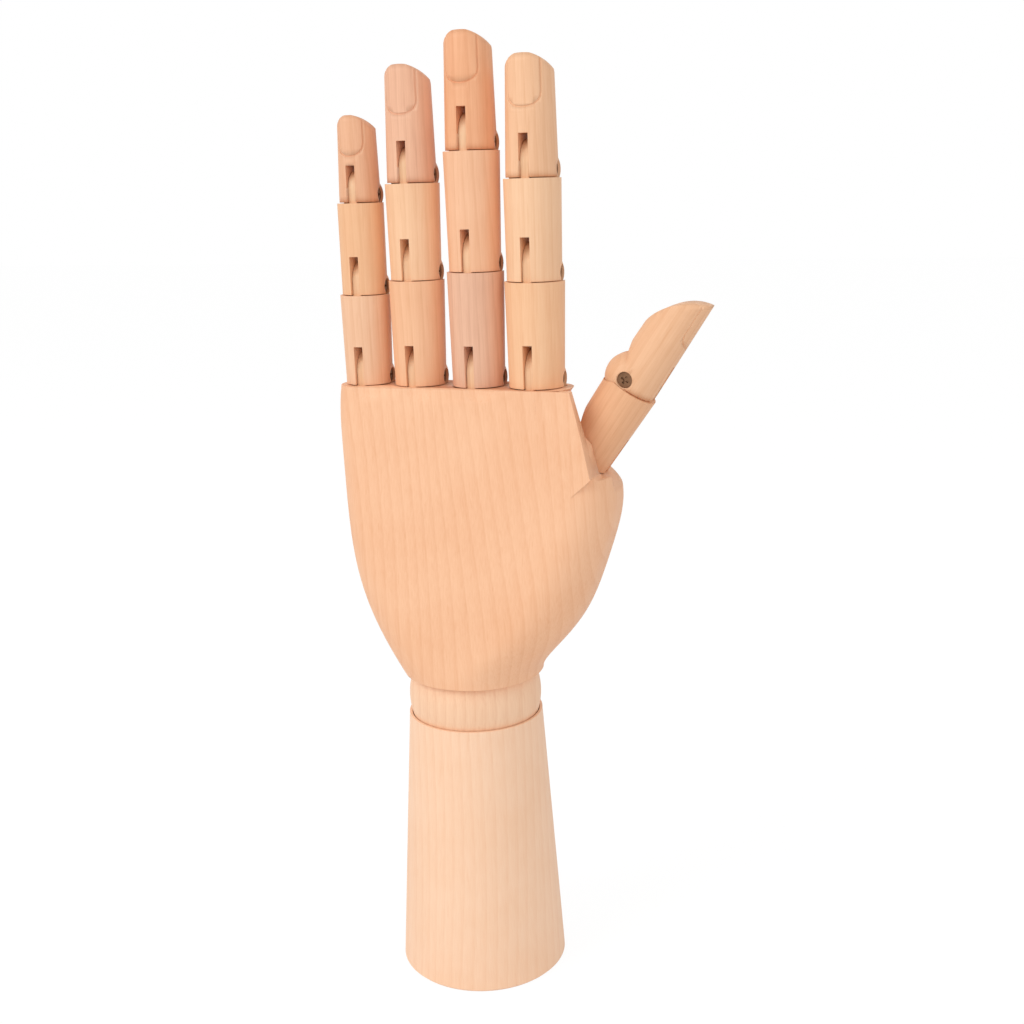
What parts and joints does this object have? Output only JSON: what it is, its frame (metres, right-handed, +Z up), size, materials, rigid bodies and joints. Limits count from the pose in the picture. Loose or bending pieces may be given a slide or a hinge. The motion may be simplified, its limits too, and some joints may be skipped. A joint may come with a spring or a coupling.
{
  "type": "jointed wooden hand",
  "caption": "Jointed wooden artist's hand on a tapered round forearm, with hinged fingers and thumb and a ball wrist that hold a pose.",
  "frame": {"origin": "centre of the forearm's underside, in the plane it stands on", "axes": "+Z up along the forearm, -Y the back of the hand, +X the thumb's side"},
  "size_m": [0.1209, 0.0562, 0.3053],
  "materials": {
    "forearm_wood": "sanded, thin satin varnish",
    "wrist_ball_wood": "sanded, thin satin varnish",
    "palm_wood": "sanded, thin satin varnish",
    "finger_wood": "sanded, thin satin varnish",
    "mauve_wood": "sanded, thin satin varnish",
    "tongue_wood": "sanded, thin satin varnish",
    "hinge_screws": "dull bronze-brown",
    "wrist_steel": "plain zinc"
  },
  "bodies": {
    "forearm": {"forearm": "forearm_wood"},
    "wrist_spring": {"tension_spring": "wrist_steel", "anchor_washer": "wrist_steel", "anchor_pin": "wrist_steel"},
    "wrist_ball": {"wrist_ball": "wrist_ball_wood"},
    "palm": {"palm": "palm_wood", "wrist_screw_eye": "wrist_steel", "index_proximal_tongue": "tongue_wood", "middle_proximal_tongue": "tongue_wood", "ring_proximal_tongue": "tongue_wood", "little_proximal_tongue": "tongue_wood", "thumb_proximal_tongue": "tongue_wood"},
    "index_proximal": {"index_proximal": "finger_wood", "index_proximal_screw": "hinge_screws", "index_middle_tongue": "tongue_wood"},
    "index_middle": {"index_middle": "finger_wood", "index_middle_screw": "hinge_screws", "index_tip_tongue": "tongue_wood"},
    "index_tip": {"index_tip": "finger_wood", "index_tip_screw": "hinge_screws"},
    "middle_proximal": {"middle_proximal": "mauve_wood", "middle_proximal_screw": "hinge_screws", "middle_middle_tongue": "tongue_wood"},
    "middle_middle": {"middle_middle": "finger_wood", "middle_middle_screw": "hinge_screws", "middle_tip_tongue": "tongue_wood"},
    "middle_tip": {"middle_tip": "finger_wood", "middle_tip_screw": "hinge_screws"},
    "ring_proximal": {"ring_proximal": "finger_wood", "ring_proximal_screw": "hinge_screws", "ring_middle_tongue": "tongue_wood"},
    "ring_middle": {"ring_middle": "finger_wood", "ring_middle_screw": "hinge_screws", "ring_tip_tongue": "tongue_wood"},
    "ring_tip": {"ring_tip": "mauve_wood", "ring_tip_screw": "hinge_screws"},
    "little_proximal": {"little_proximal": "finger_wood", "little_proximal_screw": "hinge_screws", "little_middle_tongue": "tongue_wood"},
    "little_middle": {"little_middle": "finger_wood", "little_middle_screw": "hinge_screws", "little_tip_tongue": "tongue_wood"},
    "little_tip": {"little_tip": "finger_wood", "little_tip_screw": "hinge_screws"},
    "thumb_proximal": {"thumb_proximal": "finger_wood", "thumb_proximal_screw": "hinge_screws", "thumb_tip_tongue": "tongue_wood"},
    "thumb_tip": {"thumb_tip": "finger_wood", "thumb_tip_screw": "hinge_screws"}
  },
  "joints": [
    {"name": "wrist_swivel", "type": "hinge", "parent": "forearm", "child": "wrist_spring", "pos_m": [0, 0, 0.0964], "axis": [0, 0, 1], "range_deg": [-90, 90]},
    {"name": "wrist_side_tilt", "type": "hinge", "parent": "wrist_spring", "child": "wrist_ball", "pos_m": [0, 0, 0.0964], "axis": [0, 1, 0], "range_deg": [-20, 20], "deforming": ["tension_spring"]},
    {"name": "wrist_nod", "type": "hinge", "parent": "wrist_ball", "child": "palm", "pos_m": [0, 0, 0.0964], "axis": [1, 0, 0], "range_deg": [-20, 20]},
    {"name": "index_proximal_hinge", "type": "hinge", "parent": "palm", "child": "index_proximal", "pos_m": [0.0245, 0.002, 0.202], "axis": [-1, 0, 0], "range_deg": [0, 75]},
    {"name": "index_middle_hinge", "type": "hinge", "parent": "index_proximal", "child": "index_middle", "pos_m": [0.0245, 0.002, 0.2345], "axis": [-1, 0, 0], "range_deg": [0, 75]},
    {"name": "index_tip_hinge", "type": "hinge", "parent": "index_middle", "child": "index_tip", "pos_m": [0.0245, 0.002, 0.265], "axis": [-1, 0, 0], "range_deg": [0, 75]},
    {"name": "middle_proximal_hinge", "type": "hinge", "parent": "palm", "child": "middle_proximal", "pos_m": [0.0052, 0.002, 0.202], "axis": [-1, 0, 0], "range_deg": [0, 75]},
    {"name": "middle_middle_hinge", "type": "hinge", "parent": "middle_proximal", "child": "middle_middle", "pos_m": [0.0052, 0.002, 0.2375], "axis": [-1, 0, 0], "range_deg": [0, 75]},
    {"name": "middle_tip_hinge", "type": "hinge", "parent": "middle_middle", "child": "middle_tip", "pos_m": [0.0052, 0.002, 0.2735], "axis": [-1, 0, 0], "range_deg": [0, 75]},
    {"name": "ring_proximal_hinge", "type": "hinge", "parent": "palm", "child": "ring_proximal", "pos_m": [-0.0148, 0.002, 0.202], "axis": [-1, 0, 0], "range_deg": [0, 75]},
    {"name": "ring_middle_hinge", "type": "hinge", "parent": "ring_proximal", "child": "ring_middle", "pos_m": [-0.0148, 0.002, 0.235], "axis": [-1, 0, 0], "range_deg": [0, 75]},
    {"name": "ring_tip_hinge", "type": "hinge", "parent": "ring_middle", "child": "ring_tip", "pos_m": [-0.0148, 0.002, 0.2645], "axis": [-1, 0, 0], "range_deg": [0, 75]},
    {"name": "little_proximal_hinge", "type": "hinge", "parent": "palm", "child": "little_proximal", "pos_m": [-0.0329, 0.002, 0.202], "axis": [-1, 0, 0], "range_deg": [0, 75]},
    {"name": "little_middle_hinge", "type": "hinge", "parent": "little_proximal", "child": "little_middle", "pos_m": [-0.0329, 0.002, 0.2305], "axis": [-1, 0, 0], "range_deg": [0, 75]},
    {"name": "little_tip_hinge", "type": "hinge", "parent": "little_middle", "child": "little_tip", "pos_m": [-0.0329, 0.002, 0.259], "axis": [-1, 0, 0], "range_deg": [0, 75]},
    {"name": "thumb_proximal_hinge", "type": "hinge", "parent": "palm", "child": "thumb_proximal", "pos_m": [0.0375, 0.006, 0.1795], "axis": [0, -1, 0], "range_deg": [0, 12]},
    {"name": "thumb_tip_hinge", "type": "hinge", "parent": "thumb_proximal", "child": "thumb_tip", "pos_m": [0.05288, 0.006, 0.2023], "axis": [0, -1, 0], "range_deg": [0, 45]}
  ]
}
